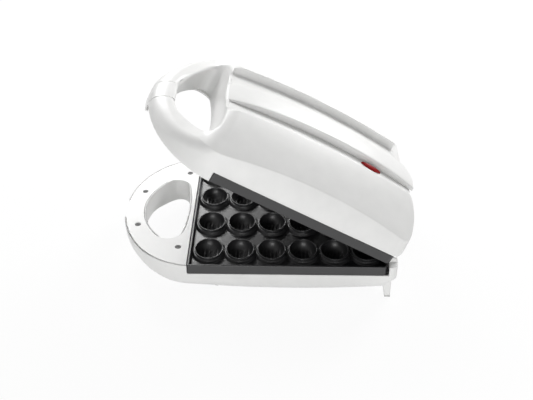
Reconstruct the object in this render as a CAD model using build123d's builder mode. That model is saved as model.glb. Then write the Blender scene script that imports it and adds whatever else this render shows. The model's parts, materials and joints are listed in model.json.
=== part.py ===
from build123d import *
import os
from math import sqrt

# Electric nut cookie maker: a countertop cooker whose lid swings up on two hinge pins.
# Millimetres, +Z up. The origin is on the table under the middle of the lower plate.
# The handle points to -X and the hinge line, parallel to Y, is at the +X end.
# The lid pieces are drawn closed and then swung up together by the angle lid_open.

os.makedirs("parts", exist_ok=True)

# Levels and overall sizes
parting = 46.5
rim_gap = 0.6
lid_open = 28.86
housing_width = 223.0
wall = 2.5

# Handle, a half ellipse in plan
handle_x = -105.0
handle_reach = 86.5
handle_end_x = -109.7
nose_front = handle_x - handle_reach

# Handle loop seen from the side: distance behind its tip, and height
tip_shoulder = (4.5, 12.9)
tip_crest = (13.5, 19.0)
loop_start = (21.5, 19.7)
loop_line = ((41.5, 25.5), (59.5, 32.5), (72.5, 43.5), (87.5, 62.0))
base_tip_shoulder = (4.3, -11.5)
base_tip_crest = (14.5, -16.8)
base_loop_line = ((41.5, -20.5), (67.5, -28.5))

# Share of a wall's thickness that a rounded corner moves in along each axis
corner_share = 0.7

# Heights under and over everything, for cuts that go right through
far_below = -60.0
far_above = 80.0
cut_margin = 4.0

# Rear end of both housings
rear_side_x = 116.0
rear_middle_x = 119.5
neck_x = 120.5
rear_corner = 10.0

# Hinge
hinge_x = 115.3
hinge_pin_radius = 2.0
knuckle_radius = 5.0
running_fit = 0.06
knuckle_gap = 0.5
inner_knuckle_y = 60.0
ear_y = 68.0
ear_width = 15.5
outer_knuckle_end_y = 100.0
ear_front_x = 110.8
ear_rear_x = 116.0
ear_top = 30.0
neck_slot_depth = 5.7

# Finger hole through both halves of the handle
hole_nose_x = -167.5
hole_nose_radius = 84.0
hole_body_x = -116.5
hole_body_radius = 276.0
hole_corner = 16.0
hole_flare = 12.0
hole_flare_height = 60.0
hole_body_flare = 2.0
hole_body_top_radius = 1500.0

# Lid housing: how far its side is drawn in at each height over the parting plane
lid_side = ((-1.0, 0.0), (12.0, 0.8), (30.0, 5.0), (42.0, 9.3), (66.0, 22.0))
rear_draft_share = 0.2

# Shoulders of the lid, arcs that fall from a ridge beside the channel, swept lengthwise
ridge_y = 50.5
ridge_height = 64.4
crease_y = 102.0
crease_height = 42.0
shoulder_radius = 330.0
lid_length_radius = 870.0

# Rear end of the lid seen from the side
lid_brow = (112.0, 53.0)
lid_brow_corner = (118.0, 49.0)
lid_rear_x = 121.0
lid_rear_high = 40.0
lid_rear_low = 26.0
lid_heel = (113.5, 23.5)
lid_heel_corner = (110.5, 15.5)
lid_heel_x = 103.5

# Wide channel between the ridges and the long panel that stands in it
channel_half_width = 50.0
channel_height = 54.8
channel_length_radius = 850.0
channel_reach = 14.0
panel_half_width = 19.5
panel_crown_x = 5.0
panel_front_x = -115.2
panel_rear_x = 119.0
panel_front_height = 51.5
panel_top_height = 63.4
panel_rear_height = 49.5
panel_wall = 2.0
panel_corner = 3.0

# Lower housing: how far its side is drawn in at each depth under the parting plane
base_side = ((1.0, 0.0), (-12.0, 0.5), (-30.0, 5.0), (-38.0, 11.0), (-46.0, 24.0))
base_bottom = -43.5
base_end_bottom = -37.5
base_end_x = -100.0
base_heel = (115.0, -23.0)
neck_low = -19.0
neck_front_x = 110.3

# Baking plates
plate_length = 218.5
plate_width = 221.0
plate_rear_corner = 6.5
plate_front_corner = 1.0
plate_wall_height = 11.8
plate_rim = 2.5
plate_skin = 3.0
tray_depth = 6.0
flange_inset = 3.2
flange_depth = 4.2
rim_line_width = 0.9
rim_line_depth = 1.0
rim_line_x = -107.6
rim_line_margin = 7.0

# Cups of the lower plate and the cores of the upper plate that fill them
cup_columns = 6
cup_rows = 4
cup_pitch_x = 35.0
cup_pitch_y = 52.4
cup_half_x = 14.5
cup_half_y = 17.4
cup_wall = 2.0
collar_flare = 3.0
cookie_wall = 3.0

# Handle covers
cover_thickness = 2.0
cover_inset = 2.0
cover_end_x = -110.2
cover_fit = 0.15
cover_screw_places = ((-122.0, 77.0), (-122.0, -77.0), (-172.7, 34.5), (-172.7, -34.5))

# Screws, all of one size
screw_radius = 1.6
screw_head_radius = 3.2
screw_head_height = 1.6
screw_slot_length = 3.4
screw_slot_width = 0.8
screw_slot_depth = 0.8
cover_screw_length = 10.0
cover_shank = 8.0
cover_head_sink = 1.6
plate_screw_length = 20.0
screw_fit = 0.08
head_fit = 0.4
cover_boss_radius = 5.0
plate_boss_radius = 5.0
shell_boss_radius = 6.0

# Where the screws clamp the plates
base_plate_screws = ((70.0, 52.4), (70.0, -52.4), (-70.0, 52.4), (-70.0, -52.4))
lid_plate_screws = ((84.0, 0.0), (28.0, 0.0), (-28.0, 0.0), (-84.0, 0.0))

# Heating
heater_radius = 3.2
heater_run = 70.0
heater_gap = 0.3
heater_end_x = 92.0
heater_pin_radius = 1.2
heater_pin_length = 8.0
lead_radius = 1.0
lead_bend = 2.5
shield_thickness = 0.8
shield_inset = 11.0
base_shield_depth = 25.5
lid_shield_height = 20.0
thermostat_radius = 6.0
thermostat_height = 8.0
thermostat_flange = 1.6
lid_thermostat_y = 52.4
lid_screw_seat = 34.0
base_screw_seat = -36.0
seat_gap = 0.2
fuse_radius = 2.0
fuse_length = 14.0
fuse_x = 35.0

# Electrical pieces on the floor and rear wall of the lower housing
block_length = 12.0
block_width = 26.0
block_height = 8.5
block_x = 84.0
block_y = 34.0
block_ways = 3
block_way_pitch = 8.0
block_way_radius = 1.4
block_floor_drop = 0.4
inlet_z = -11.5
inlet_radius = 4.6
inlet_bore = 3.2
inlet_flange = 6.4
inlet_flange_thickness = 1.6
inlet_depth = 6.0
lead_side_step = 14.0
lead_straight = 5.0
lead_climb = 2.5
lead_inlet_bend = (8.0, 10.0)

# Lamp and its lens, the shape of an eye, on the near side of the channel's floor
lens_x = 57.5
lens_y = -33.5
lens_chord = 27.0
lens_rise = 8.0
lens_thickness = 1.5
lens_proud = 4.6
lens_fit = 0.1
lens_window = 1.6
lamp_radius = 2.6
lamp_low = 38.0

# Latch clip on the handle's tip
clip_half_width = 17.5
clip_skin = 2.5
clip_gap = 0.4
clip_bottom = -9.0
clip_lip = 2.2
clip_lip_height = 1.5
clip_pin_x = -169.0
clip_pin_drop = 2.7
clip_pin_radius = 1.25
clip_barrel_radius = 2.7
latch_ledge = -5.7
latch_recess_floor = -11.0
nose_block_depth = 14.5
tip_cheek = 3.5
clip_pin_half_length = 20.5

# Feet
foot_x = -79.0
foot_y = 81.0
foot_radius = 7.0
foot_height = 4.5
foot_stem_radius = 2.0
foot_stem_length = 4.0
foot_boss_radius = 8.5
foot_boss_height = 6.0
leg_front_top_x = 103.0
leg_front_x = 108.3
leg_rear_x = 114.8
leg_top = -20.0
leg_half_y = 104.0
leg_width = 14.0
pad_thickness = 1.5

lid_swing = Pos(hinge_x, 0, parting) * Rot(0, lid_open, 0) * Pos(-hinge_x, 0, -parting)
cup_places = GridLocations(cup_pitch_x, cup_pitch_y, cup_columns, cup_rows)


def level(height):
    """Horizontal plane at a height over the parting plane."""
    return Plane.XY.offset(parting + height)


def side_plane():
    """Vertical plane along the object, its height counted from the parting plane."""
    return Plane(origin=(0, 0, parting), x_dir=(1, 0, 0), z_dir=(0, -1, 0))


def save(builder, name):
    """Label a finished piece and write it."""
    builder.part.label = name
    export_step(builder.part, f"parts/{name}.step")


def save_lid(builder, name):
    """Swing a lid piece up to its open place, then label and write it."""
    builder.part.move(lid_swing)
    save(builder, name)


def housing_outline(inset, side_x, middle_x):
    """Plan of a housing: half ellipse at the handle, straight sides, bowed rear end."""
    half_width = housing_width / 2 - inset
    with BuildLine() as outline:
        EllipticalCenterArc((handle_x, 0), handle_reach - inset, half_width, 90, arc_size=180)
        Line((handle_x, -half_width), (side_x, -half_width))
        ThreePointArc((side_x, -half_width), (middle_x, 0), (side_x, half_width))
        Line((side_x, half_width), (handle_x, half_width))
    make_face(outline.edges())
    fillet(vertices().group_by(Axis.X)[-1], rear_corner)


def finger_outline(flare, body_x, body_radius, grow):
    """D shaped finger hole; flare opens its sides, grow offsets the whole outline."""
    nose_radius = hole_nose_radius + 2 * flare
    with Locations((hole_nose_x + nose_radius, 0)):
        Circle(nose_radius + grow)
    with Locations((body_x - body_radius, 0)):
        Circle(body_radius + grow, mode=Mode.INTERSECT)
    tips = vertices().group_by(Axis.Y)[0] + vertices().group_by(Axis.Y)[-1]
    fillet(tips, hole_corner + flare / 2 + grow)


def lid_finger_block(grow):
    """Space of the finger hole through the lid, wider towards the top."""
    with BuildPart() as block:
        with BuildSketch(level(-1)):
            finger_outline(0, hole_body_x, hole_body_radius, grow)
        with BuildSketch(level(hole_flare_height)):
            top_x = hole_body_x + hole_body_flare
            finger_outline(hole_flare, top_x, hole_body_top_radius, grow)
        loft()
    return block.part


def base_finger_block(grow):
    """Space of the finger hole through the lower half of the handle."""
    with BuildPart() as block:
        with BuildSketch(level(1)):
            finger_outline(0, hole_body_x, hole_body_radius, grow)
        extrude(amount=far_below)
    return block.part


def path(*points):
    """Straight lines through the points; a point given twice in a row counts once."""
    kept = [point for point, last in zip(points, (None,) + points) if point != last]
    Polyline(*kept)


def behind_tip(place, inset, lift=0):
    """Point a distance behind the handle's tip, moved in by shares of the inset."""
    reach, height = place
    return (nose_front + reach + lift * inset, height - (lift or 1) * inset)


def nose_line(inset, low, end_x):
    """Section along the tip of the handle: up the front, round the top, back to end_x."""
    front = (nose_front + inset, 1.0)
    crest = behind_tip(tip_crest, inset)
    Line((front[0], low), front)
    ThreePointArc(front, behind_tip(tip_shoulder, inset, corner_share), crest)
    Line(crest, (end_x, loop_start[1] - inset))


def lid_side_view(inset, low_handle, low_body):
    """Side view of the lid housing above its lower edges."""
    start = behind_tip(loop_start, inset)
    climb = [behind_tip(place, inset) for place in loop_line]
    brow = (lid_brow[0], lid_brow[1] - inset)
    rear = lid_rear_x - inset
    share = corner_share * inset
    heel = (lid_heel[0], lid_heel[1] + inset)
    heel_end = (lid_heel_x - inset, plate_wall_height)
    nose_line(inset, low_handle, start[0])
    Spline(start, *climb)
    Polyline(climb[-1], (climb[-1][0] + 8, far_above), (lid_brow[0] / 2, far_above), brow)
    brow_corner = (lid_brow_corner[0] - share, lid_brow_corner[1] - share)
    ThreePointArc(brow, brow_corner, (rear, lid_rear_high))
    Polyline((rear, lid_rear_high), (rear, lid_rear_low + inset), heel)
    heel_corner = (lid_heel_corner[0] - share, lid_heel_corner[1] + share)
    ThreePointArc(heel, heel_corner, heel_end)
    path(
        heel_end,
        (heel_end[0], low_body),
        (handle_end_x, low_body),
        (handle_end_x, low_handle),
        (nose_front + inset, low_handle),
    )


def shoulders(inset):
    """Keep what lies under the lid's shoulders, which fall from ridges on both sides."""
    chord_y = crease_y - ridge_y
    chord_z = crease_height - ridge_height
    chord = sqrt(chord_y**2 + chord_z**2)
    back = sqrt(shoulder_radius**2 - chord**2 / 4)
    centre_y = (ridge_y + crease_y) / 2 + back * chord_z / chord
    centre_z = (ridge_height + crease_height) / 2 - back * chord_y / chord
    arc_radius = shoulder_radius - inset

    def edge(y):
        return (y, parting + centre_z + sqrt(arc_radius**2 - (y - centre_y) ** 2))

    outer_y = housing_width / 2 + cut_margin
    ridge, middle, outer = edge(ridge_y), edge(crease_y), edge(outer_y)
    with BuildPart(mode=Mode.PRIVATE) as cap:
        with BuildSketch(Plane.YZ) as section:
            with BuildLine():
                ThreePointArc(ridge, middle, outer)
                Polyline(outer, (outer[0], far_below), (-outer[0], far_below), (-outer[0], outer[1]))
                ThreePointArc((-outer[0], outer[1]), (-middle[0], middle[1]), (-ridge[0], ridge[1]))
                Line((-ridge[0], ridge[1]), ridge)
            make_face()
        pivot = (0, 0, parting + ridge_height - lid_length_radius)
        revolve(section.sketch, axis=Axis(pivot, (0, 1, 0)), revolution_arc=20)
        revolve(section.sketch, axis=Axis(pivot, (0, -1, 0)), revolution_arc=20)
    return cap.part


def lid_form(inset, low_handle, low_body):
    """Solid under the lid housing's outer surface, drawn in by inset."""
    with BuildPart() as form:
        for height, draft in lid_side:
            with BuildSketch(level(height)):
                rear = rear_draft_share * draft + inset
                housing_outline(draft + inset, rear_side_x - rear, rear_middle_x - rear)
        loft()
        with BuildSketch(side_plane()):
            with BuildLine():
                lid_side_view(inset, low_handle, low_body)
            make_face()
        extrude(amount=housing_width, both=True, mode=Mode.INTERSECT)
        add(shoulders(inset), mode=Mode.INTERSECT)
    return form.part


def channel_floor(x):
    """Height of the channel's floor."""
    return channel_height - x**2 / (2 * channel_length_radius)


def channel_block(grow):
    """Space of the channel along the lid's middle, with its floor under the panel."""
    start_x = panel_front_x - channel_reach
    end_x = panel_rear_x + channel_reach
    with BuildPart() as block:
        with BuildSketch(side_plane()):
            with BuildLine():
                start = (start_x, channel_floor(start_x) - grow)
                end = (end_x, channel_floor(end_x) - grow)
                ThreePointArc(start, (0, channel_height - grow), end)
                Polyline(end, (end_x, far_above), (start_x, far_above), start)
            make_face()
        extrude(amount=channel_half_width + grow, both=True)
    return block.part


def base_side_view(inset, top_handle, top_body, top_neck):
    """Side view of the lower housing under its upper edges."""
    front = (nose_front + inset, -2.0)
    share = corner_share * inset
    shoulder = (nose_front + base_tip_shoulder[0] + share, base_tip_shoulder[1] + share)
    crest = behind_tip(base_tip_crest, -inset)
    climb = [behind_tip(place, -inset) for place in base_loop_line]
    end = (base_end_x, base_end_bottom + inset)
    leg = (leg_front_top_x - inset, base_end_bottom + inset)
    Line((front[0], top_handle), front)
    ThreePointArc(front, shoulder, crest)
    Spline(crest, *climb, end)
    ThreePointArc(end, (0, base_bottom + inset), leg)
    path(
        leg,
        (base_heel[0] - inset, base_heel[1] + inset),
        (neck_x - inset, neck_low),
        (neck_x - inset, top_neck),
        (neck_front_x + inset, top_neck),
        (neck_front_x + inset, top_body),
        (handle_end_x, top_body),
        (handle_end_x, top_handle),
        (front[0], top_handle),
    )


def base_form(inset, top_handle, top_body, top_neck):
    """Solid inside the lower housing's outer surface, drawn in by inset."""
    with BuildPart() as form:
        for height, draft in base_side:
            with BuildSketch(level(height)):
                housing_outline(draft + inset, neck_x - inset, neck_x + 1 - inset)
        loft()
        with BuildSketch(side_plane()):
            with BuildLine():
                base_side_view(inset, top_handle, top_body, top_neck)
            make_face()
        extrude(amount=housing_width, both=True, mode=Mode.INTERSECT)
    return form.part


def cover_outline(inset):
    """Plan of a handle cover: the handle's outline drawn in, cut off at the plate."""
    housing_outline(cover_inset + inset, rear_side_x, rear_middle_x)
    with Locations((cover_end_x - inset, 0)):
        Rectangle(400, 400, align=(Align.MIN, Align.CENTER), mode=Mode.SUBTRACT)


def plate_outline(inset):
    """Plan of a baking plate, drawn in by inset."""
    Rectangle(plate_length - 2 * inset, plate_width - 2 * inset)
    ends = vertices().group_by(Axis.X)
    fillet(ends[-1], max(plate_rear_corner - inset, plate_front_corner))
    fillet(vertices().group_by(Axis.X)[0], plate_front_corner)


def half_ellipsoid(half_x, half_y, height):
    """Lower half of an ellipsoid that hangs under a height, round about a line along Y."""
    with BuildPart() as bowl:
        with BuildSketch(level(height)):
            Ellipse(half_x, half_y)
            with Locations((-half_x, 0)):
                Rectangle(2 * half_x, 2 * half_y, mode=Mode.SUBTRACT)
        revolve(axis=Axis((0, 0, parting + height), (0, 1, 0)), revolution_arc=180)
    return bowl.part


def collar(rim, foot):
    """Tapered wall round a cup or a core, from the rim's height to the tray's floor."""
    with BuildPart() as ring:
        with BuildSketch(level(rim)):
            Ellipse(cup_half_x + cup_wall, cup_half_y + cup_wall)
        flare = cup_wall + collar_flare
        with BuildSketch(level(foot)):
            Ellipse(cup_half_x + flare, cup_half_y + flare)
        loft()
    return ring.part


# Shapes shared by several pieces
tray_floor = rim_gap / 2 + tray_depth
tray_back = tray_floor + plate_skin
base_rim = -rim_gap / 2
lid_rim = rim_gap / 2
cup_cavity = half_ellipsoid(cup_half_x, cup_half_y, base_rim)
cup_outside = half_ellipsoid(cup_half_x + cup_wall, cup_half_y + cup_wall, base_rim)
core_half_x = cup_half_x - cookie_wall
core_half_y = cup_half_y - cookie_wall
core_outside = half_ellipsoid(core_half_x, core_half_y, lid_rim)
core_hollow = half_ellipsoid(core_half_x - cup_wall, core_half_y - cup_wall, lid_rim)
base_collar = collar(base_rim, -tray_floor)
lid_collar = collar(lid_rim, tray_floor)

# Lower baking plate: tray with cups
with BuildPart() as lower_plate:
    with BuildSketch(level(base_rim)):
        plate_outline(0)
    extrude(amount=-(plate_wall_height - rim_gap / 2))
    with BuildSketch(level(-plate_wall_height)):
        plate_outline(flange_inset)
    extrude(amount=-flange_depth)
    with BuildSketch(level(base_rim)):
        plate_outline(plate_rim)
    extrude(amount=-tray_depth, mode=Mode.SUBTRACT)
    with BuildSketch(level(-plate_wall_height - flange_depth)):
        plate_outline(flange_inset + plate_rim)
    extrude(amount=plate_wall_height + flange_depth - tray_back, mode=Mode.SUBTRACT)
    with cup_places:
        add(base_collar)
        add(cup_outside)
    with cup_places:
        add(cup_cavity, mode=Mode.SUBTRACT)
    with BuildSketch(level(-tray_floor)):
        with Locations(*base_plate_screws):
            Circle(plate_boss_radius)
    extrude(amount=-(base_shield_depth - tray_floor))
    with BuildSketch(level(-base_shield_depth)):
        with Locations(*base_plate_screws):
            Circle(screw_radius + screw_fit)
    extrude(amount=base_shield_depth - tray_back, mode=Mode.SUBTRACT)
    with Locations((rim_line_x, 0, parting + base_rim)):
        Box(
            rim_line_width,
            plate_width - 2 * rim_line_margin,
            2 * rim_line_depth,
            mode=Mode.SUBTRACT,
        )
save(lower_plate, "lower_plate")

# Upper baking plate: the same tray upside down, with a core for each cup
with BuildPart() as upper_plate:
    with BuildSketch(level(lid_rim)):
        plate_outline(0)
    extrude(amount=plate_wall_height - rim_gap / 2)
    with BuildSketch(level(plate_wall_height)):
        plate_outline(flange_inset)
    extrude(amount=flange_depth)
    with BuildSketch(level(lid_rim)):
        plate_outline(plate_rim)
    extrude(amount=tray_depth, mode=Mode.SUBTRACT)
    with BuildSketch(level(plate_wall_height + flange_depth)):
        plate_outline(flange_inset + plate_rim)
    extrude(amount=tray_back - plate_wall_height - flange_depth, mode=Mode.SUBTRACT)
    with cup_places:
        add(lid_collar)
        add(core_outside)
    with BuildSketch(level(tray_back)):
        with cup_places:
            Ellipse(core_half_x - cup_wall, core_half_y - cup_wall)
    extrude(amount=-(tray_back - lid_rim), mode=Mode.SUBTRACT)
    with cup_places:
        add(core_hollow, mode=Mode.SUBTRACT)
    with BuildSketch(level(tray_floor)):
        with Locations(*lid_plate_screws):
            Circle(plate_boss_radius)
    extrude(amount=lid_shield_height - tray_floor)
    with BuildSketch(level(lid_shield_height)):
        with Locations(*lid_plate_screws):
            Circle(screw_radius + screw_fit)
    extrude(amount=tray_back - lid_shield_height, mode=Mode.SUBTRACT)
save_lid(upper_plate, "upper_plate")

def posts(places, radius, low, high):
    """Round posts between two heights over the parting plane."""
    with BuildPart() as group:
        with BuildSketch(level(low)):
            with Locations(*places):
                Circle(radius)
        extrude(amount=high - low)
    return group.part


def knuckles(radius, start_y, length):
    """Round bars on the hinge line, one on each side of the middle."""
    with BuildPart() as bars:
        for side in (-1, 1):
            hinge_plane = Plane(origin=(hinge_x, side * start_y, parting), z_dir=(0, side, 0))
            with BuildSketch(hinge_plane):
                Circle(radius)
            extrude(amount=length)
    return bars.part


def cover_plan(inset):
    """Plan of a handle cover with its finger hole, drawn in on every side by inset."""
    cover_outline(inset)
    with BuildSketch(mode=Mode.PRIVATE) as hole:
        finger_outline(0, hole_body_x, hole_body_radius, cover_inset + inset)
    add(hole.sketch, mode=Mode.SUBTRACT)


def handle_cover(low):
    """Flat cover of a handle half, with clearance holes for its screws."""
    with BuildPart() as cover:
        with BuildSketch(level(low)):
            cover_plan(cover_fit)
            with Locations(*cover_screw_places):
                Circle(screw_radius + screw_fit, mode=Mode.SUBTRACT)
        extrude(amount=cover_thickness)
    return cover.part


def cover_pocket(low):
    """Space that a handle cover is let into."""
    with BuildPart() as pocket:
        with BuildSketch(level(low)):
            cover_plan(0)
        extrude(amount=cover_thickness)
    return pocket.part


def screws(places, seat, direction, length):
    """Round headed screws; the shank leaves the head's seat in the given direction."""
    with BuildPart() as group:
        with BuildSketch(level(seat)):
            with Locations(*places):
                Circle(screw_head_radius)
        extrude(amount=-direction * screw_head_height)
        with BuildSketch(level(seat)):
            with Locations(*places):
                Circle(screw_radius)
        extrude(amount=direction * length)
        heads = group.faces().filter_by(Axis.Z).group_by(Axis.Z)
        outer = heads[0] if direction > 0 else heads[-1]
        fillet(outer.edges(), screw_head_height * 0.4)
        with BuildSketch(level(seat - direction * screw_head_height)):
            with Locations(*places):
                Rectangle(screw_slot_length, screw_slot_width)
                Rectangle(screw_slot_width, screw_slot_length)
        extrude(amount=direction * screw_slot_depth, mode=Mode.SUBTRACT)
    return group.part


def heater(height):
    """Tubular heating element that runs to and fro under the cup rows."""
    row_y = [cup_pitch_y * (row - (cup_rows - 1) / 2) for row in range(cup_rows)]
    bend = cup_pitch_y / 2
    with BuildPart() as tube:
        with BuildLine(level(height)) as path:
            side = 1
            Line((heater_end_x, row_y[0]), (-side * heater_run, row_y[0]))
            for low, high in zip(row_y, row_y[1:]):
                turn_x = -side * heater_run
                middle = (turn_x - side * bend, (low + high) / 2)
                ThreePointArc((turn_x, low), middle, (turn_x, high))
                last_x = heater_end_x if high == row_y[-1] else side * heater_run
                Line((turn_x, high), (last_x, high))
                side = -side
        start = path.wires()[0]
        with BuildSketch(Plane(origin=start @ 0, z_dir=start % 0)):
            Circle(heater_radius)
        sweep(path=start)
        for y in (row_y[0], row_y[-1]):
            end = Plane(origin=(heater_end_x, y, parting + height), z_dir=(1, 0, 0))
            with BuildSketch(end):
                Circle(heater_pin_radius)
            extrude(amount=heater_pin_length)
    return tube.part


def shield(height, places):
    """Flat sheet that turns the heat back to the plate, with holes for the screws."""
    with BuildPart() as sheet:
        with BuildSketch(level(height)):
            plate_outline(shield_inset)
            with Locations(*places):
                Circle(screw_radius + head_fit, mode=Mode.SUBTRACT)
        extrude(amount=shield_thickness)
    return sheet.part


def thermostat(x, y, height, direction):
    """Snap disc thermostat: a flanged can against the back of the plate."""
    with BuildPart() as can:
        with BuildSketch(level(height)):
            with Locations((x, y)):
                Circle(thermostat_radius)
        extrude(amount=direction * thermostat_height)
        with BuildSketch(level(height + direction * thermostat_height)):
            with Locations((x, y)):
                Circle(thermostat_radius - thermostat_flange)
        extrude(amount=direction * thermostat_flange)
    return can.part


def lens_prism(grow):
    """Upright block with the outline of the lamp's lens: two arcs that meet in tips."""
    arc_radius = (lens_chord**2 / 4 + lens_rise**2) / (2 * lens_rise)
    offset = arc_radius - lens_rise
    with BuildPart() as prism:
        with BuildSketch(level(lamp_low)):
            with Locations((lens_x, lens_y + offset)):
                Circle(arc_radius + grow)
            with Locations((lens_x, lens_y - offset)):
                Circle(arc_radius + grow, mode=Mode.INTERSECT)
        extrude(amount=far_above - lamp_low)
    return prism.part


def lead(points):
    """Insulated wire along straight runs joined by arcs."""
    with BuildPart() as wire:
        with BuildLine() as route:
            FilletPolyline(*[(x, y, parting + z) for x, y, z in points], radius=lead_bend)
        start = route.wires()[0]
        with BuildSketch(Plane(origin=start @ 0, z_dir=start % 0)):
            Circle(lead_radius)
        sweep(path=start)
    return wire.part


# Housing of the lid: crowned shell, open under the plate, with the finger hole's funnel
lid_outside = lid_form(0, lid_rim, plate_wall_height)
lid_core = lid_form(wall, -2, -1) - lid_finger_block(wall) - channel_block(wall)
lid_lens_seat = lens_prism(lens_fit) & channel_block(lens_thickness + lens_fit)
lid_bosses = (
    posts(
        lid_plate_screws,
        shell_boss_radius,
        lid_shield_height + shield_thickness,
        far_above,
    )
    + posts(cover_screw_places, cover_boss_radius, lid_rim + cover_thickness, far_above)
) & lid_outside
tip_half_width = clip_half_width + clip_gap + tip_cheek
clip_pin_z = loop_start[1] - clip_pin_drop
clip_slot_half = clip_half_width + clip_gap

# Solid tip of the lid's handle, which carries the clip's pin
with BuildPart() as lid_tip:
    add(lid_outside)
    with Locations((nose_front - 1, 0, parting + lid_rim + cover_thickness)):
        Box(
            hole_nose_x - nose_front + cut_margin,
            2 * tip_half_width,
            far_above,
            align=(Align.MIN, Align.CENTER, Align.MIN),
            mode=Mode.INTERSECT,
        )

# Room for the clip round the tip: a band under the outer line and the pin's barrel
with BuildPart() as clip_room:
    with BuildSketch(side_plane()):
        with BuildLine() as band:
            clip_depth = clip_skin + clip_gap
            band_top = loop_line[0][1]
            nose_line(clip_depth, -cut_margin, clip_pin_x)
            path(
                (clip_pin_x, loop_start[1] - clip_depth),
                (clip_pin_x, band_top),
                (nose_front - cut_margin, band_top),
                (nose_front - cut_margin, -cut_margin),
                (nose_front + clip_depth, -cut_margin),
            )
        make_face()
        with Locations((clip_pin_x, clip_pin_z)):
            Circle(clip_barrel_radius + clip_gap)
    extrude(amount=clip_slot_half, both=True)

with BuildPart() as upper_housing:
    add(lid_outside)
    add(lid_core, mode=Mode.SUBTRACT)
    add(lid_bosses)
    add(lid_tip.part)
    add(lid_finger_block(0), mode=Mode.SUBTRACT)
    add(channel_block(0), mode=Mode.SUBTRACT)
    add(cover_pocket(lid_rim), mode=Mode.SUBTRACT)
    add(lid_lens_seat, mode=Mode.SUBTRACT)
    with Locations((lens_x, lens_y, parting + lamp_low)):
        Box(
            lens_chord / 2,
            lens_window,
            far_above - lamp_low,
            align=(Align.CENTER, Align.CENTER, Align.MIN),
            mode=Mode.SUBTRACT,
        )
    # Screw holes: clearance shafts with a counterbore under the long panel
    add(
        posts(lid_plate_screws, screw_radius + screw_fit, lid_shield_height, far_above),
        mode=Mode.SUBTRACT,
    )
    add(
        posts(lid_plate_screws, screw_head_radius + head_fit, lid_screw_seat, far_above),
        mode=Mode.SUBTRACT,
    )
    add(
        posts(
            cover_screw_places,
            screw_radius + screw_fit,
            lid_rim,
            lid_rim + cover_screw_length + head_fit,
        ),
        mode=Mode.SUBTRACT,
    )
    # Seat for the plate's flange
    with BuildSketch(level(plate_wall_height)):
        plate_outline(flange_inset - cover_fit)
    extrude(amount=flange_depth + cover_fit, mode=Mode.SUBTRACT)
    # Ears that reach down to the hinge pins
    for side in (-1, 1):
        ear_plane = Plane(
            origin=(0, side * ear_y, parting),
            x_dir=(1, 0, 0),
            z_dir=(0, -1, 0),
        )
        with BuildSketch(ear_plane):
            with Locations((hinge_x, 0)):
                Circle(knuckle_radius)
            with Locations((ear_front_x, 0)):
                Rectangle(
                    ear_rear_x - ear_front_x,
                    ear_top,
                    align=(Align.MIN, Align.MIN),
                )
            with Locations((hinge_x, 0)):
                Circle(hinge_pin_radius + running_fit, mode=Mode.SUBTRACT)
        extrude(amount=-side * ear_width)
    # Slot round the tip for the latch clip, and the hole for its pin
    add(clip_room.part, mode=Mode.SUBTRACT)
    pin_plane = Plane(
        origin=(clip_pin_x, 0, parting + clip_pin_z),
        x_dir=(1, 0, 0),
        z_dir=(0, -1, 0),
    )
    with BuildSketch(pin_plane):
        Circle(clip_pin_radius + running_fit)
    extrude(amount=clip_pin_half_length, both=True, mode=Mode.SUBTRACT)
save_lid(upper_housing, "upper_housing")

# Long panel along the lid's middle, which hides the plate screws
with BuildPart() as upper_top_panel:
    with BuildSketch(side_plane()):
        with BuildLine():
            front = (panel_front_x, panel_front_height)
            rear = (panel_rear_x, panel_rear_height)
            ThreePointArc(front, (panel_crown_x, panel_top_height), rear)
            Polyline(rear, (rear[0], lid_shield_height), (front[0], lid_shield_height), front)
        make_face()
    extrude(amount=panel_half_width, both=True)
    fillet(edges().filter_by(Axis.Z), panel_corner)
    add(channel_block(0), mode=Mode.INTERSECT)
    with BuildSketch(side_plane()):
        with BuildLine():
            front = (panel_front_x + panel_wall, panel_front_height - panel_wall)
            rear = (panel_rear_x - panel_wall, panel_rear_height - panel_wall)
            ThreePointArc(front, (panel_crown_x, panel_top_height - panel_wall), rear)
            Polyline(rear, (rear[0], lid_shield_height), (front[0], lid_shield_height), front)
        make_face()
    extrude(amount=panel_half_width - panel_wall, both=True, mode=Mode.SUBTRACT)
save_lid(upper_top_panel, "upper_top_panel")

# Lower housing: open tray with the neck, the hinge knuckles, legs and foot bosses
base_outside = base_form(0, base_rim, -plate_wall_height, base_rim)
base_core = base_form(wall, 5, 4, -neck_slot_depth - wall) - base_finger_block(wall)
base_bosses = (
    posts(
        base_plate_screws,
        shell_boss_radius,
        far_below,
        -base_shield_depth - shield_thickness,
    )
    + posts(cover_screw_places, cover_boss_radius, far_below, base_rim - cover_thickness)
) & base_outside

# Solid tip of the lower handle, which holds the ledge for the clip
with BuildPart() as base_tip:
    add(base_outside)
    with Locations((nose_front - 1, 0, parting + base_rim - cover_thickness)):
        Box(
            nose_block_depth,
            2 * tip_half_width,
            -far_below,
            align=(Align.MIN, Align.CENTER, Align.MAX),
            mode=Mode.INTERSECT,
        )

# Recess in the tip for the clip's skin, with an undercut for its hook
ledge_x = nose_front + clip_skin + clip_gap
lip_x = nose_front + clip_skin + clip_lip + 2 * clip_gap
with BuildPart() as latch_recess:
    with BuildSketch(side_plane()):
        with BuildLine():
            Polyline(
                (nose_front - cut_margin, cut_margin),
                (ledge_x, cut_margin),
                (ledge_x, latch_ledge),
                (lip_x, latch_ledge),
                (lip_x, latch_recess_floor),
                (nose_front - cut_margin, latch_recess_floor),
                close=True,
            )
        make_face()
    extrude(amount=clip_slot_half, both=True)

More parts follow.
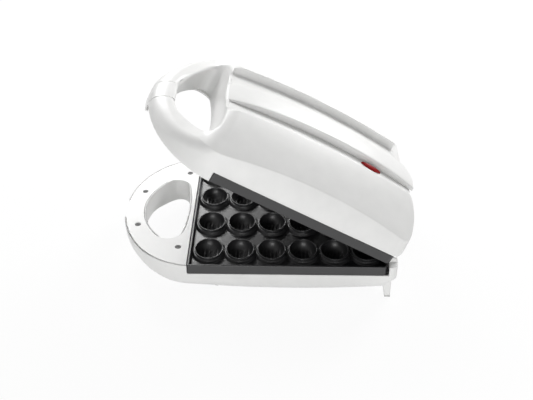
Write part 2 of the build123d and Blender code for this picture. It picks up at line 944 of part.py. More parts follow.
with BuildPart() as lower_housing:
    add(base_outside)
    add(base_core, mode=Mode.SUBTRACT)
    add(base_bosses)
    add(base_tip.part)
    add(base_finger_block(0), mode=Mode.SUBTRACT)
    add(cover_pocket(base_rim - cover_thickness), mode=Mode.SUBTRACT)
    # Bosses for the front feet
    foot_places = ((foot_x, foot_y), (foot_x, -foot_y))
    foot_seat = foot_height - parting
    add(posts(foot_places, foot_boss_radius, foot_seat, foot_seat + foot_boss_height))
    add(
        posts(
            foot_places,
            foot_stem_radius + screw_fit,
            foot_seat,
            foot_seat + foot_stem_length + head_fit,
        ),
        mode=Mode.SUBTRACT,
    )
    # Rear legs
    for side in (-1, 1):
        leg_plane = Plane(
            origin=(0, side * leg_half_y, parting),
            x_dir=(1, 0, 0),
            z_dir=(0, -1, 0),
        )
        with BuildSketch(leg_plane):
            with BuildLine():
                Polyline(
                    (leg_front_top_x + 2, leg_top - 8),
                    (leg_front_x, pad_thickness - parting),
                    (leg_rear_x, pad_thickness - parting),
                    (leg_rear_x, leg_top),
                    close=True,
                )
            make_face()
        extrude(amount=side * leg_width)
    # Screw holes from below with sunk heads, and from above for the cover
    add(
        posts(base_plate_screws, screw_radius + screw_fit, far_below, -base_shield_depth),
        mode=Mode.SUBTRACT,
    )
    add(
        posts(base_plate_screws, screw_head_radius + head_fit, far_below, base_screw_seat),
        mode=Mode.SUBTRACT,
    )
    add(
        posts(
            cover_screw_places,
            screw_radius + screw_fit,
            base_rim - cover_screw_length - head_fit,
            base_rim,
        ),
        mode=Mode.SUBTRACT,
    )
    # Slots in the neck for the lid's ears
    slot_size = 2 * (neck_x - neck_front_x) + cut_margin
    for side in (-1, 1):
        slot_start = ear_y - knuckle_gap
        with Locations((neck_x, side * slot_start, parting - neck_slot_depth)):
            Box(
                slot_size,
                ear_width + 2 * knuckle_gap,
                slot_size,
                align=(
                    Align.CENTER,
                    Align.MIN if side > 0 else Align.MAX,
                    Align.MIN,
                ),
                mode=Mode.SUBTRACT,
            )
    # Hinge knuckles beside the ears, bored for the pins
    add(knuckles(knuckle_radius, inner_knuckle_y, ear_y - knuckle_gap - inner_knuckle_y))
    outer_start = ear_y + ear_width + knuckle_gap
    add(knuckles(knuckle_radius, outer_start, outer_knuckle_end_y - outer_start))
    bore = outer_knuckle_end_y - inner_knuckle_y
    add(
        knuckles(hinge_pin_radius + screw_fit, inner_knuckle_y, bore),
        mode=Mode.SUBTRACT,
    )
    # Hole for the cord's inlet bush
    inlet_plane = Plane(
        origin=(neck_x - inlet_depth, 0, parting + inlet_z),
        x_dir=(0, 1, 0),
        z_dir=(1, 0, 0),
    )
    with BuildSketch(inlet_plane):
        Circle(inlet_radius + screw_fit)
    extrude(amount=2 * inlet_depth, mode=Mode.SUBTRACT)
    # Recess and undercut that the clip's hook snaps into
    add(latch_recess.part, mode=Mode.SUBTRACT)
save(lower_housing, "lower_housing")

# Handle covers, each let into its housing, and their screws
with BuildPart() as lower_handle_cover:
    add(handle_cover(base_rim - cover_thickness))
    add(
        posts(
            cover_screw_places,
            screw_head_radius + head_fit,
            base_rim - cover_head_sink,
            base_rim,
        ),
        mode=Mode.SUBTRACT,
    )
    add(latch_recess.part, mode=Mode.SUBTRACT)
save(lower_handle_cover, "lower_handle_cover")

with BuildPart() as upper_handle_cover:
    add(handle_cover(lid_rim))
    add(
        posts(
            cover_screw_places,
            screw_head_radius + head_fit,
            lid_rim,
            lid_rim + cover_head_sink,
        ),
        mode=Mode.SUBTRACT,
    )
    add(clip_room.part, mode=Mode.SUBTRACT)
save_lid(upper_handle_cover, "upper_handle_cover")

with BuildPart() as lower_cover_screws:
    add(screws(cover_screw_places, base_rim - cover_head_sink, -1, cover_shank))
save(lower_cover_screws, "lower_cover_screws")

with BuildPart() as upper_cover_screws:
    add(screws(cover_screw_places, lid_rim + cover_head_sink, 1, cover_shank))
save_lid(upper_cover_screws, "upper_cover_screws")

# Screws that clamp each plate and its heat shield to the housing
with BuildPart() as lower_plate_screws:
    add(screws(base_plate_screws, base_screw_seat, 1, plate_screw_length))
save(lower_plate_screws, "lower_plate_screws")

with BuildPart() as upper_plate_screws:
    add(screws(lid_plate_screws, lid_screw_seat, -1, plate_screw_length))
save_lid(upper_plate_screws, "upper_plate_screws")

# Heating elements and heat shields
base_heater_height = base_rim - cup_half_x - cup_wall - heater_gap - heater_radius
with BuildPart() as lower_heater:
    add(heater(base_heater_height))
save(lower_heater, "lower_heater")

with BuildPart() as upper_heater:
    add(heater(tray_back + heater_gap + heater_radius))
save_lid(upper_heater, "upper_heater")

with BuildPart() as lower_heat_shield:
    add(shield(-base_shield_depth - shield_thickness, base_plate_screws))
save(lower_heat_shield, "lower_heat_shield")

with BuildPart() as upper_heat_shield:
    add(shield(lid_shield_height, lid_plate_screws))
save_lid(upper_heat_shield, "upper_heat_shield")

# Thermostats against the backs of the plates
with BuildPart() as lower_thermostat:
    add(thermostat(0, 0, -tray_back - seat_gap, -1))
save(lower_thermostat, "lower_thermostat")

with BuildPart() as upper_thermostat:
    add(thermostat(0, lid_thermostat_y, tray_back + seat_gap, 1))
save_lid(upper_thermostat, "upper_thermostat")

# Thermal fuse, a small capsule beside the lower thermostat
with BuildPart() as thermal_fuse:
    fuse_height = parting - tray_back - seat_gap - fuse_radius
    with BuildSketch(Plane(origin=(fuse_x, 0, fuse_height), z_dir=(1, 0, 0))):
        Circle(fuse_radius)
    extrude(amount=fuse_length)
    fillet(thermal_fuse.faces().filter_by(Axis.X).edges(), fuse_radius * 0.4)
save(thermal_fuse, "thermal_fuse")

# Terminal block on the floor of the lower housing
block_foot = base_end_bottom + wall + seat_gap - block_floor_drop
with BuildPart() as terminal_block:
    with BuildSketch(level(block_foot)):
        with Locations((block_x, block_y)):
            Rectangle(block_length, block_width)
    extrude(amount=block_height)
    way_places = [
        (block_x, block_y + block_way_pitch * (way - (block_ways - 1) / 2))
        for way in range(block_ways)
    ]
    with BuildSketch(level(block_foot + block_height)):
        with Locations(*way_places):
            Circle(block_way_radius)
    extrude(amount=-block_height / 2, mode=Mode.SUBTRACT)
save(terminal_block, "terminal_block")

# Leads from the terminal block to both heater ends and to the inlet bush
wire_height = block_foot + block_height / 2
heater_tip_x = heater_end_x + heater_pin_length + heater_gap + lead_radius
outer_row_y = cup_pitch_y * (cup_rows - 1) / 2
block_side_x = block_x + block_length / 2
wire_start_x = block_side_x + heater_gap
wire_turn_x = block_side_x + lead_straight
inlet_x = neck_x - inlet_depth - lead_radius - heater_gap
heater_bend_y = outer_row_y - lead_side_step
with BuildPart() as lower_leads:
    for way, side in ((2, 1), (0, -1)):
        way_y = way_places[way][1]
        add(
            lead(
                (
                    (wire_start_x, way_y, wire_height),
                    (wire_turn_x, way_y, wire_height),
                    (heater_tip_x, side * heater_bend_y, wire_height + lead_climb),
                    (heater_tip_x, side * outer_row_y, wire_height + 2 * lead_climb),
                    (heater_tip_x, side * outer_row_y, base_heater_height),
                )
            )
        )
    way_y = way_places[1][1]
    bend_x, bend_y = lead_inlet_bend
    add(
        lead(
            (
                (wire_start_x, way_y, wire_height),
                (wire_turn_x, way_y, wire_height),
                (inlet_x - bend_x, bend_y, wire_height + inlet_depth),
                (inlet_x, 0, inlet_z - lead_straight),
                (inlet_x, 0, inlet_z),
            )
        )
    )
save(lower_leads, "lower_leads")

# Bush that lines the cord's hole in the rear wall
with BuildPart() as cord_inlet_bush:
    with BuildSketch(inlet_plane):
        Circle(inlet_radius)
    extrude(amount=inlet_depth)
    with BuildSketch(inlet_plane.offset(inlet_depth)):
        Circle(inlet_flange)
    extrude(amount=inlet_flange_thickness)
    with BuildSketch(inlet_plane):
        Circle(inlet_bore)
    extrude(amount=inlet_depth + inlet_flange_thickness, mode=Mode.SUBTRACT)
save(cord_inlet_bush, "cord_inlet_bush")

# Hinge pins
with BuildPart() as hinge_pins:
    add(knuckles(hinge_pin_radius, inner_knuckle_y + knuckle_gap, bore - 2 * knuckle_gap))
save(hinge_pins, "hinge_pins")

# Rubber feet: pegged pads in front, glued pads under the rear legs
with BuildPart() as front_feet:
    add(posts(foot_places, foot_radius, -parting, foot_seat))
    fillet(front_feet.faces().group_by(Axis.Z)[0].edges(), 1)
    add(posts(foot_places, foot_stem_radius, foot_seat, foot_seat + foot_stem_length))
save(front_feet, "front_feet")

with BuildPart() as rear_foot_pads:
    with BuildSketch(Plane.XY):
        for side in (-1, 1):
            with Locations(
                ((leg_front_x + leg_rear_x) / 2, side * (leg_half_y - leg_width / 2))
            ):
                Rectangle(leg_rear_x - leg_front_x, leg_width)
    extrude(amount=pad_thickness)
save(rear_foot_pads, "rear_foot_pads")

# Lamp and lens
with BuildPart() as lamp_lens:
    add(lens_prism(0))
    add(channel_block(lens_thickness), mode=Mode.INTERSECT)
    add(channel_block(-lens_proud), mode=Mode.SUBTRACT)
save_lid(lamp_lens, "lamp_lens")

lamp_high = channel_floor(lens_x + lamp_radius) - wall - seat_gap
with BuildPart() as indicator_lamp:
    add(posts(((lens_x, lens_y),), lamp_radius, lamp_low, lamp_high))
save_lid(indicator_lamp, "indicator_lamp")

# Latch clip: a skin round the handle's tip with a barrel at the top and a hook below
with BuildPart() as latch_clip:
    with BuildSketch(side_plane()):
        with BuildLine() as skin:
            nose_line(0, clip_bottom, clip_pin_x)
            Line((clip_pin_x, loop_start[1]), (clip_pin_x, loop_start[1] - clip_skin))
            nose_line(clip_skin, clip_bottom, clip_pin_x)
            Line((nose_front + clip_skin, clip_bottom), (nose_front, clip_bottom))
        make_face()
        with Locations((nose_front, clip_bottom)):
            Rectangle(
                clip_skin + clip_lip, clip_lip_height, align=(Align.MIN, Align.MIN)
            )
        with Locations((clip_pin_x, clip_pin_z)):
            Circle(clip_barrel_radius)
        with Locations((clip_pin_x, clip_pin_z)):
            Circle(clip_pin_radius + running_fit, mode=Mode.SUBTRACT)
    extrude(amount=clip_half_width, both=True)
save_lid(latch_clip, "latch_clip")

with BuildPart() as latch_pin:
    with BuildSketch(pin_plane):
        Circle(clip_pin_radius)
    extrude(amount=clip_pin_half_length - clip_gap, both=True)
save_lid(latch_pin, "latch_pin")
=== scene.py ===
import json
from math import cos, pi, radians, sin

import bpy
import numpy as np
from mathutils import Matrix, Vector


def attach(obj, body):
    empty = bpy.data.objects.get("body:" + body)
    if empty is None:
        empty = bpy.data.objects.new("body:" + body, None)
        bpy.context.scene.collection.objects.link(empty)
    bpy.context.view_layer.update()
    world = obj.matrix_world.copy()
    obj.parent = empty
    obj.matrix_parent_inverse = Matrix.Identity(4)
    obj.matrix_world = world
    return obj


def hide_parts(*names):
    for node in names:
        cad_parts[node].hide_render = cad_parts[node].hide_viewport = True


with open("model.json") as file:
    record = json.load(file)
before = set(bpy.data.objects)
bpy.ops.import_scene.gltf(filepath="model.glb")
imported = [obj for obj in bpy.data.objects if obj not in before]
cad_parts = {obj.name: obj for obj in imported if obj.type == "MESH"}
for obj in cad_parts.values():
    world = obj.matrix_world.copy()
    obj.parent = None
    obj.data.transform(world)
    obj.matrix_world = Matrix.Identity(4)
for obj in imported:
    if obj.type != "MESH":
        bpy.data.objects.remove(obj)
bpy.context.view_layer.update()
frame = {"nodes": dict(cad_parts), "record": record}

# Places of the joints. Shapes below are worked out in millimetres, with heights counted
# from the parting plane and the lid closed, and are swung open when they are made.
MM = 0.001
LID = next(j for j in frame["record"]["behaviour"]["joints"] if j["child"] == "lid")
HINGE_X = LID["pos_m"][0] / MM
PARTING = LID["pos_m"][2] / MM
LID_OPEN = -radians(LID["range_deg"][0])

# Camera solved from the plates' corners in the photograph, which is 533 pixels wide
IMAGE_WIDTH = 533
FOCAL_PIXELS = 916.885
SENSOR_WIDTH = 36.0
CAMERA_PLACE = (-6.339, -894.387, 613.443)
CAMERA_DOWN = radians(33.917)
CAMERA_YAW = radians(-1.18785)
CAMERA_ROLL = radians(-0.0964)

# Housings: plan, side walls, rims, thickness and the lid's rear wall
HALF_WIDTH = 111.5
HANDLE_X = -105.0
HANDLE_REACH = 86.5
HANDLE_END_X = -109.7
SIDE_RADIUS = 93.0
RIM_HALF_GAP = 0.3
PLATE_WALL = 11.8
SHELL_WALL = 2.5
REAR_X = 119.0
REAR_BOW = 2.5
REAR_LEAN = 0.2
REAR_CORNER = 10.0

# Handle loop's top, which climbs from the tip and rises faster near the body
LOOP_TIP_X = -190.0
LOOP_TIP_HEIGHT = 18.2
LOOP_CLIMB = 0.0042
LOOP_RISE_X = -133.0
LOOP_RISE = 0.06
LOOP_ROUND = 9.0
NOSE_ROUND = 16.0
LOOP_BLEND_X = -150.0
NOSE_BLEND_X = -185.0

# Lid's shoulders, brow over the rear wall and lower edges
RIDGE_Y = 50.5
RIDGE_HEIGHT = 64.2
RIDGE_ROUND = 0.7
CREASE_Y = 102.0
CREASE_HEIGHT = 42.0
CREASE_ROUND = 0.6
SHOULDER_RADIUS = 210.0
LENGTH_RADIUS = 870.0
BROW_START_X = 30.0
BROW_X = 112.0
BROW_HEIGHT = 53.5
BROW_BACK = 0.474
BROW_UP = 0.88
BROW_ROUND = 8.0
BROW_EDGE = 1.5
HEEL_START_X = 60.0
HEEL_ROUND = 11.0
LID_EDGE = 0.6

# Rear end of the far ridge, which stops short of the near one
FAR_RIDGE_END = 97.0
FAR_END_HEIGHT = 50.0
FAR_END_SLOPE = 0.5
FAR_END_ROUND = 2.0

# Finger hole: the nose's arc, and the body's side, which leans forward in the middle and
# back towards its ends
NOSE_X = -167.5
NOSE_RADIUS = 84.0
NOSE_FLARE = 0.5
BODY_SIDE_X = -116.5
BODY_SIDE_RADIUS = 276.0
BODY_SIDE_SCALE = 0.97
BODY_FLARE = 0.0028
BODY_FLARE_DROP = 0.12
BODY_FLARE_MIDDLE = 8.0
HOLE_CORNER = 16.0
HOLE_RIM_ROUND = 3.0
HOLE_RIM_WIDER = 4.0
HOLE_RIM_BLEND_X = -165.0

# Channel between the ridges, with the brim that follows the panel at the finger hole
CHANNEL_HALF = 50.0
CHANNEL_HEIGHT = 54.8
CHANNEL_RADIUS = 850.0
CHANNEL_FILLET = 2.0
FRONT_WALL = 3.5
FRONT_WALL_LAP = 2.0
BRIM_GAP = 0.3
BRIM_RISE = 6.0
BRIM_START_Y = 34.0

# Long panel in the channel
PANEL_HALF = 19.5
PANEL_TOP = 63.4
PANEL_X = 5.0
PANEL_FALL = 7.6e-4
PANEL_END_FALL = 1.6e-8
PANEL_CROWN = 1.0
PANEL_ROUND = 1.4
PANEL_REAR_X = 119.5
PANEL_REAR_ROUND = 2.5
PANEL_SWEEP = 0.02
PANEL_SWEEP_Y = -5.0
PANEL_FRONT_GAP = 0.2
PANEL_LIFT = 0.1

# Latch clip
CLIP_HALF = 17.5
CLIP_SKIN = 2.5
CLIP_GAP = 0.4
CLIP_ROUND = 0.5
CLIP_LOW = -9.0
CLIP_TAIL = 1.3
CLIP_TAIL_TOP = 0.8
CLIP_PIN_X = -169.0
CLIP_PIN_Z = 17.0
CLIP_BARREL = 2.7
HOOK_REACH = 2.2
HOOK_THICK = 1.5

# Lens of the lamp
LENS_X = 59.0
LENS_Y = -25.8
LENS_HALF_CHORD = 13.2
LENS_RISE = 4.2
LENS_EDGE = 1.2
LENS_DOME = 2.2
LENS_DEEP = 1.4
LENS_SCALE = 0.8
LENS_ROUND = 0.4

# Solid blocks at the tips of both handles, which the clip and its ledge need
TIP_SIDE = 4.0
LID_TIP_LAP = 1.0
BASE_TIP_X = -177.0

# Hinge: the lid's ears between the lower housing's knuckles
HINGE_KNUCKLE = 5.0
KNUCKLE_ROUND = 0.4
KNUCKLE_IN_Y = 60.0
KNUCKLE_OUT_Y = 100.0
KNUCKLE_GAP = 0.5
EAR_Y = 68.0
EAR_WIDTH = 15.5
EAR_FRONT_X = 110.8
EAR_REAR_X = 116.0
EAR_TOP = 30.0
EAR_SLOT_X = 105.0
EAR_SLOT_FLOOR = -5.7

# Lower housing's underside: shallow under the loop, a ramp, then the deep body
LOOP_BOTTOM = -17.0
LOOP_BOTTOM_X = -187.0
LOOP_BOTTOM_SLOPE = 0.1
LOOP_BOTTOM_ROUND = 9.0
RAMP_BOTTOM = -21.0
RAMP_X = -145.0
RAMP_SLOPE = 0.42
BASE_BOTTOM = -43.5
BASE_BOTTOM_X = 2.0
BASE_BOTTOM_RADIUS = 850.0
BOTTOM_BLEND = 6.0
BOTTOM_SCALE = 1.05
BASE_ROUND = 14.0
BASE_ROUND_START_X = -135.0
BASE_ROUND_END_X = -95.0

# Lower housing's rear neck, edges, cover pocket, clip recess and cord inlet
NECK_X = 120.5
NECK_FRONT_X = 110.3
NECK_STEP = 5.5
NECK_STEP_TOP = -19.0
NECK_STEP_LOW = -23.0
BASE_HOLE_ROUND = 1.0
BASE_EDGE = 0.5
COVER_INSET = 2.0
COVER_DEPTH = 2.3
COVER_SEAM = 0.7
COVER_REAR_X = -110.2
RECESS_REAR_X = -186.0
RECESS_FLOOR = -11.0
LEDGE_FRONT_X = -188.6
LEDGE_LOW = -5.7
INLET_RADIUS = 4.7
INLET_Z = -11.5
INLET_FRONT_X = 104.0

# Rear legs, whose fronts lean
LEG_Y = 97.0
LEG_HALF = 7.0
LEG_TOP = -20.0
LEG_FOOT = -45.0
LEG_REAR_X = 114.8
LEG_FRONT_X = 105.0
LEG_FRONT_Z = -28.0
LEG_FRONT_BACK = 0.97
LEG_FRONT_DOWN = 0.19
LEG_ROUND = 1.0

# Baking plates
PLATE_HALF_X = 109.25
PLATE_HALF_Y = 110.5
PLATE_FRONT_ROUND = 1.0
PLATE_REAR_ROUND = 6.5
PLATE_ROUND_BLEND = 10.0
PLATE_RIM = 2.5
PLATE_EDGE = 0.6
TRAY_FLOOR = 6.3
TRAY_CORNER = 1.2
TRAY_EDGE = 0.5
UNDER_INSET = 6.0
UNDER_DEPTH = 16.9

# Cups and cores, with a stepped collar round each
CUP_COLUMNS = 6
CUP_ROWS = 4
CUP_PITCH_X = 35.0
CUP_PITCH_Y = 52.4
CUP_X = 14.5
CUP_Y = 17.4
CUP_EDGE = 0.5
COOKIE_WALL = 3.0
COLLAR_WIDTH = 1.5
COLLAR_ROUND = 0.5
STEP_WIDTH = 2.9
STEP_DEPTH = 2.5
FOOT_WIDTH = 3.4
FOOT_DEPTH = 3.8
FOOT_SPREAD = 0.45
FOOT_SCALE = 0.9
FOOT_BLEND = 0.8
CORE_ROOT = 6.0

# Walnut relief of the cups and cores: wavy grooves that fade out
GROOVE_HEIGHT = 0.3
GROOVE_WAVE = 0.7
GROOVE_WAVE_LENGTH = 2.5
CUP_GROOVE_PITCH = 4.2
CUP_GROOVE_FADE = (7.0, 12.0)
CORE_GROOVE_PITCH = 4.6
CORE_GROOVE_FADE = (2.0, 6.0)

# A distance too far inside to count, and what keeps a division off zero
FAR_INSIDE = -400.0
ELLIPSE_NUDGE = 1e-6
STEEPNESS_NUDGE = 1e-9

# Finding a surface: how its points slide onto it, in shares of a cell
CORNERS = [(i, j, k) for i in (0, 1) for j in (0, 1) for k in (0, 1)]
SLOPE_REACH = 0.05
SETTLE_ROUNDS = 3
SETTLE_SHARE = 0.4
LEAST_STEEPNESS = 0.25

# Surfaces: noise for the colour and the gloss, and a finer grain for the relief
COLOUR_STOPS = (0.3, 0.7)
COLOUR_DETAIL = 4.0
GLOSS_SPREAD = 0.15
GRAIN_FINER = 14
GRAIN_DETAIL = 2.0
GRAIN_HEIGHT = 0.0005

# Light, and the floor with half its width in metres
WORLD_SOFT = 0.36
FLOOR_HALF = 4.0
FLOOR_WHITE = 0.93
FLOOR_COLOUR = (0.9, 0.9, 0.9)


def round_max(a, b, radius):
    """Larger of two distances, with the edge between them rounded to a radius."""
    over_a = np.maximum(radius + a, 0)
    over_b = np.maximum(radius + b, 0)
    return np.minimum(-radius, np.maximum(a, b)) + np.sqrt(over_a**2 + over_b**2)


def round_min(a, b, radius):
    """Smaller of two distances, with the inner edge between them rounded."""
    return -round_max(-a, -b, radius)


def smooth_step(value, start, end):
    """0 up to the start and 1 past the end, with a smooth change between them."""
    t = np.clip((value - start) / (end - start), 0, 1)
    return t * t * (3 - 2 * t)


def ellipse_distance(x, y, half_x, half_y):
    """Distance out of an ellipse."""
    reach = np.sqrt((x / half_x) ** 2 + (y / half_y) ** 2) + ELLIPSE_NUDGE
    steepness = np.sqrt((x / half_x**2) ** 2 + (y / half_y**2) ** 2) + STEEPNESS_NUDGE
    return reach * (reach - 1) / steepness


def plan_distance(x, y):
    """Distance out of the housings' plan: half an ellipse with straight sides behind."""
    return ellipse_distance(np.minimum(x - HANDLE_X, 0), y, HANDLE_REACH, HALF_WIDTH)


def side_inset(z):
    """How far the side walls curve in, above or below the parting plane."""
    return z**2 / (2 * SIDE_RADIUS)


def side_distance(x, y, z):
    """Distance out of the curved side walls."""
    return (plan_distance(x, y) + side_inset(z)) / np.sqrt(1 + (z / SIDE_RADIUS) ** 2)


def rear_distance(x, y, z):
    """Distance behind the lid's rear wall, which is slightly bowed and leans in."""
    return x - REAR_X + REAR_BOW * (y / HALF_WIDTH) ** 2 + REAR_LEAN * side_inset(z)


def finger_hole(x, y, z, flare):
    """Distance out of the D shaped finger hole; flare opens it with height."""
    height = np.maximum(z, 0) * flare
    nose_radius = NOSE_RADIUS + NOSE_FLARE * height
    nose = np.sqrt((x - NOSE_X - nose_radius) ** 2 + y**2) - nose_radius
    spread = BODY_FLARE * np.sqrt(y**2 + BODY_FLARE_MIDDLE**2) - BODY_FLARE_DROP
    body = x - BODY_SIDE_X + y**2 / (2 * BODY_SIDE_RADIUS) - height * spread
    return round_max(nose, BODY_SIDE_SCALE * body, HOLE_CORNER)


def shoulder_distance(x, y, z):
    """Distance over the shoulders: arcs that fall from the ridges, swept lengthwise."""
    chord_y = CREASE_Y - RIDGE_Y
    chord_z = CREASE_HEIGHT - RIDGE_HEIGHT
    chord = np.hypot(chord_y, chord_z)
    back = np.sqrt(SHOULDER_RADIUS**2 - chord**2 / 4)
    centre_y = (RIDGE_Y + CREASE_Y) / 2 + back * chord_z / chord
    centre_z = (RIDGE_HEIGHT + CREASE_HEIGHT) / 2 - back * chord_y / chord
    axis_z = RIDGE_HEIGHT - LENGTH_RADIUS
    height = np.sqrt(x**2 + (z - axis_z) ** 2) + axis_z
    return np.sqrt((np.abs(y) - centre_y) ** 2 + (height - centre_z) ** 2) - SHOULDER_RADIUS


def loop_top(x):
    """Height of the handle loop's top."""
    climb = LOOP_CLIMB * np.maximum(x - LOOP_TIP_X, 0) ** 2
    return LOOP_TIP_HEIGHT + climb + LOOP_RISE * np.maximum(x - LOOP_RISE_X, 0) ** 2


def loop_slope(x):
    """Slope of the handle loop's top."""
    climb = 2 * LOOP_CLIMB * (x - LOOP_TIP_X)
    return climb + 2 * LOOP_RISE * np.maximum(x - LOOP_RISE_X, 0)


def lid_skin(x, y, z):
    """Distance out of the lid's outer form, without its channel and holes."""
    rear = rear_distance(x, y, z)
    around = round_max(side_distance(x, y, z), rear, REAR_CORNER)
    body = round_max(around, shoulder_distance(x, y, z), CREASE_ROUND)
    brow = BROW_BACK * (x - BROW_X) + BROW_UP * (z - BROW_HEIGHT)
    brow = np.where(x > BROW_START_X, brow, FAR_INSIDE)
    body = round_max(body, round_max(rear, brow, BROW_ROUND), BROW_EDGE)
    edge = LOOP_ROUND + (NOSE_ROUND - LOOP_ROUND) * smooth_step(x, LOOP_BLEND_X, NOSE_BLEND_X)
    return round_max(body, (z - loop_top(x)) / np.sqrt(1 + loop_slope(x) ** 2), edge)


def lid_floor(x, z):
    """Distance under the lid's lower edges: the handle's, and those over the plate."""
    handle = np.maximum(RIM_HALF_GAP - z, x - HANDLE_END_X)
    return np.minimum(handle, PLATE_WALL - z)


def panel_top(x):
    """Height of the long panel's top."""
    along = x - PANEL_X
    return PANEL_TOP - PANEL_FALL * along**2 - PANEL_END_FALL * along**4


def channel_floor(x):
    """Height of the floor of the channel."""
    return CHANNEL_HEIGHT - x**2 / (2 * CHANNEL_RADIUS)


def channel_groove(x, y, z, hole):
    """Distance out of the channel, which ends at a low wall before the finger hole."""
    groove = round_max(np.abs(y) - CHANNEL_HALF, channel_floor(x) - z, CHANNEL_FILLET)
    beside_panel = np.abs(y) >= PANEL_HALF - FRONT_WALL_LAP
    front = np.where(beside_panel, FRONT_WALL - hole, FAR_INSIDE)
    groove = round_max(groove, front, CHANNEL_FILLET)
    rise = BRIM_RISE * smooth_step(np.abs(y), BRIM_START_Y, CHANNEL_HALF)
    brim = panel_top(x) + BRIM_GAP + rise - z
    return np.minimum(groove, np.maximum(np.abs(y) - CHANNEL_HALF, brim))


def far_ridge_end(x, y, z):
    """Distance out of the space behind the far ridge's rear end."""
    step = FAR_END_HEIGHT - FAR_END_SLOPE * (x - FAR_RIDGE_END) - z
    return np.maximum(FAR_RIDGE_END - x, np.maximum(PANEL_HALF - y, step))


def clip_skin_distance(x, y, z):
    """Distance out of the handle's rounded tip, which the clip continues."""
    return round_max(plan_distance(x, y) + side_inset(z), z - loop_top(x), NOSE_ROUND)


def clip_zone(x, y, z, gap):
    """Distance out of the band round the tip that the clip and its barrel fill."""
    inner = -(clip_skin_distance(x, y, z) + CLIP_SKIN + gap)
    across = np.abs(y) - CLIP_HALF - gap
    band = np.maximum(inner, np.maximum(across, x - CLIP_PIN_X))
    barrel = np.sqrt((x - CLIP_PIN_X) ** 2 + (z - CLIP_PIN_Z) ** 2) - CLIP_BARREL - gap
    return np.minimum(band, np.maximum(barrel, across))


def hinge_bar(x, y, z, start, end):
    """Round bars on the hinge line, one on each side."""
    bar = np.sqrt((x - HINGE_X) ** 2 + z**2) - HINGE_KNUCKLE
    return round_max(bar, np.maximum(start - np.abs(y), np.abs(y) - end), KNUCKLE_ROUND)


def hinge_ear(x, y, z):
    """Ears of the lid: upright webs with a round bar on the hinge line."""
    web = np.maximum(np.maximum(EAR_FRONT_X - x, x - EAR_REAR_X), np.maximum(-z, z - EAR_TOP))
    web = np.maximum(web, np.maximum(EAR_Y - np.abs(y), np.abs(y) - EAR_Y - EAR_WIDTH))
    return np.minimum(web, hinge_bar(x, y, z, EAR_Y, EAR_Y + EAR_WIDTH))


def upper_shell(x, y, z):
    """Lid housing, hollow and open under the plate, with its hinge ears."""
    skin = lid_skin(x, y, z)
    hole = finger_hole(x, y, z, 1.0)
    rim = HOLE_RIM_ROUND + HOLE_RIM_WIDER * smooth_step(x, LOOP_BLEND_X, HOLE_RIM_BLEND_X)
    outer = round_max(skin, -hole, rim)
    groove = channel_groove(x, y, z, hole)
    outer = round_max(outer, -groove, RIDGE_ROUND)
    far_end = far_ridge_end(x, y, z)
    outer = round_max(outer, -far_end, FAR_END_ROUND)
    heel = round_max(PLATE_WALL - z, rear_distance(x, y, z), HEEL_ROUND)
    outer = np.maximum(outer, np.where(x < HEEL_START_X, FAR_INSIDE, heel))
    solid = round_max(outer, lid_floor(x, z), LID_EDGE)
    cuts = np.maximum(-hole, np.maximum(-groove, -far_end))
    hollow = np.maximum(skin, cuts) + SHELL_WALL
    tip = np.maximum(np.abs(y) - CLIP_HALF - TIP_SIDE, x - NOSE_X - LID_TIP_LAP)
    solid = np.maximum(solid, -np.maximum(hollow, -tip))
    solid = np.maximum(solid, -clip_zone(x, y, z, CLIP_GAP))
    return np.minimum(solid, hinge_ear(x, y, z))


def base_bottom(x):
    """Height of the lower housing's underside: shallow at the loop, deep at the body."""
    loop = LOOP_BOTTOM - LOOP_BOTTOM_SLOPE * (x - LOOP_BOTTOM_X)
    ramp = RAMP_BOTTOM - RAMP_SLOPE * (x - RAMP_X)
    body = BASE_BOTTOM + (x - BASE_BOTTOM_X) ** 2 / (2 * BASE_BOTTOM_RADIUS)
    return round_max(round_min(loop, ramp, BOTTOM_BLEND), body, BOTTOM_BLEND)


def base_skin(x, y, z):
    """Distance out of the lower housing's outer form."""
    rear = x - NECK_X + NECK_STEP * smooth_step(z, NECK_STEP_TOP, NECK_STEP_LOW)
    around = round_max(side_distance(x, y, z), rear, REAR_CORNER)
    deeper = smooth_step(x, BASE_ROUND_START_X, BASE_ROUND_END_X)
    edge = LOOP_BOTTOM_ROUND + (BASE_ROUND - LOOP_BOTTOM_ROUND) * deeper
    return round_max(around, (base_bottom(x) - z) / BOTTOM_SCALE, edge)


def base_top(x, z):
    """Distance over the lower housing's top edges: handle, rear neck and plate seat."""
    handle = np.maximum(z + RIM_HALF_GAP, x - HANDLE_END_X)
    neck = np.maximum(z + RIM_HALF_GAP, NECK_FRONT_X - x)
    return np.minimum(np.minimum(handle, neck), z + PLATE_WALL)


def cover_pocket(x, y, z, hole):
    """Distance out of the pocket in the lower handle that its cover lies in."""
    outside = plan_distance(x, y) + COVER_INSET - COVER_SEAM
    around = np.maximum(outside, COVER_INSET - COVER_SEAM / 2 - hole)
    return np.maximum(around, np.maximum(-COVER_DEPTH - z, x - COVER_REAR_X))


def clip_recess(x, y, z):
    """Distance out of the recess at the tip, less the ledge that the hook catches."""
    across = np.abs(y) - CLIP_HALF - CLIP_GAP
    recess = np.maximum(x - RECESS_REAR_X, np.maximum(across, RECESS_FLOOR - z))
    ledge = np.maximum(LEDGE_FRONT_X - x, LEDGE_LOW - z)
    return np.maximum(recess, -ledge)


def ear_slot(x, y, z):
    """Distance out of the slots in the neck that the lid's ears turn in."""
    inner = EAR_Y - KNUCKLE_GAP - np.abs(y)
    across = np.maximum(inner, np.abs(y) - EAR_Y - EAR_WIDTH - KNUCKLE_GAP)
    return np.maximum(across, np.maximum(EAR_SLOT_X - x, EAR_SLOT_FLOOR - z))


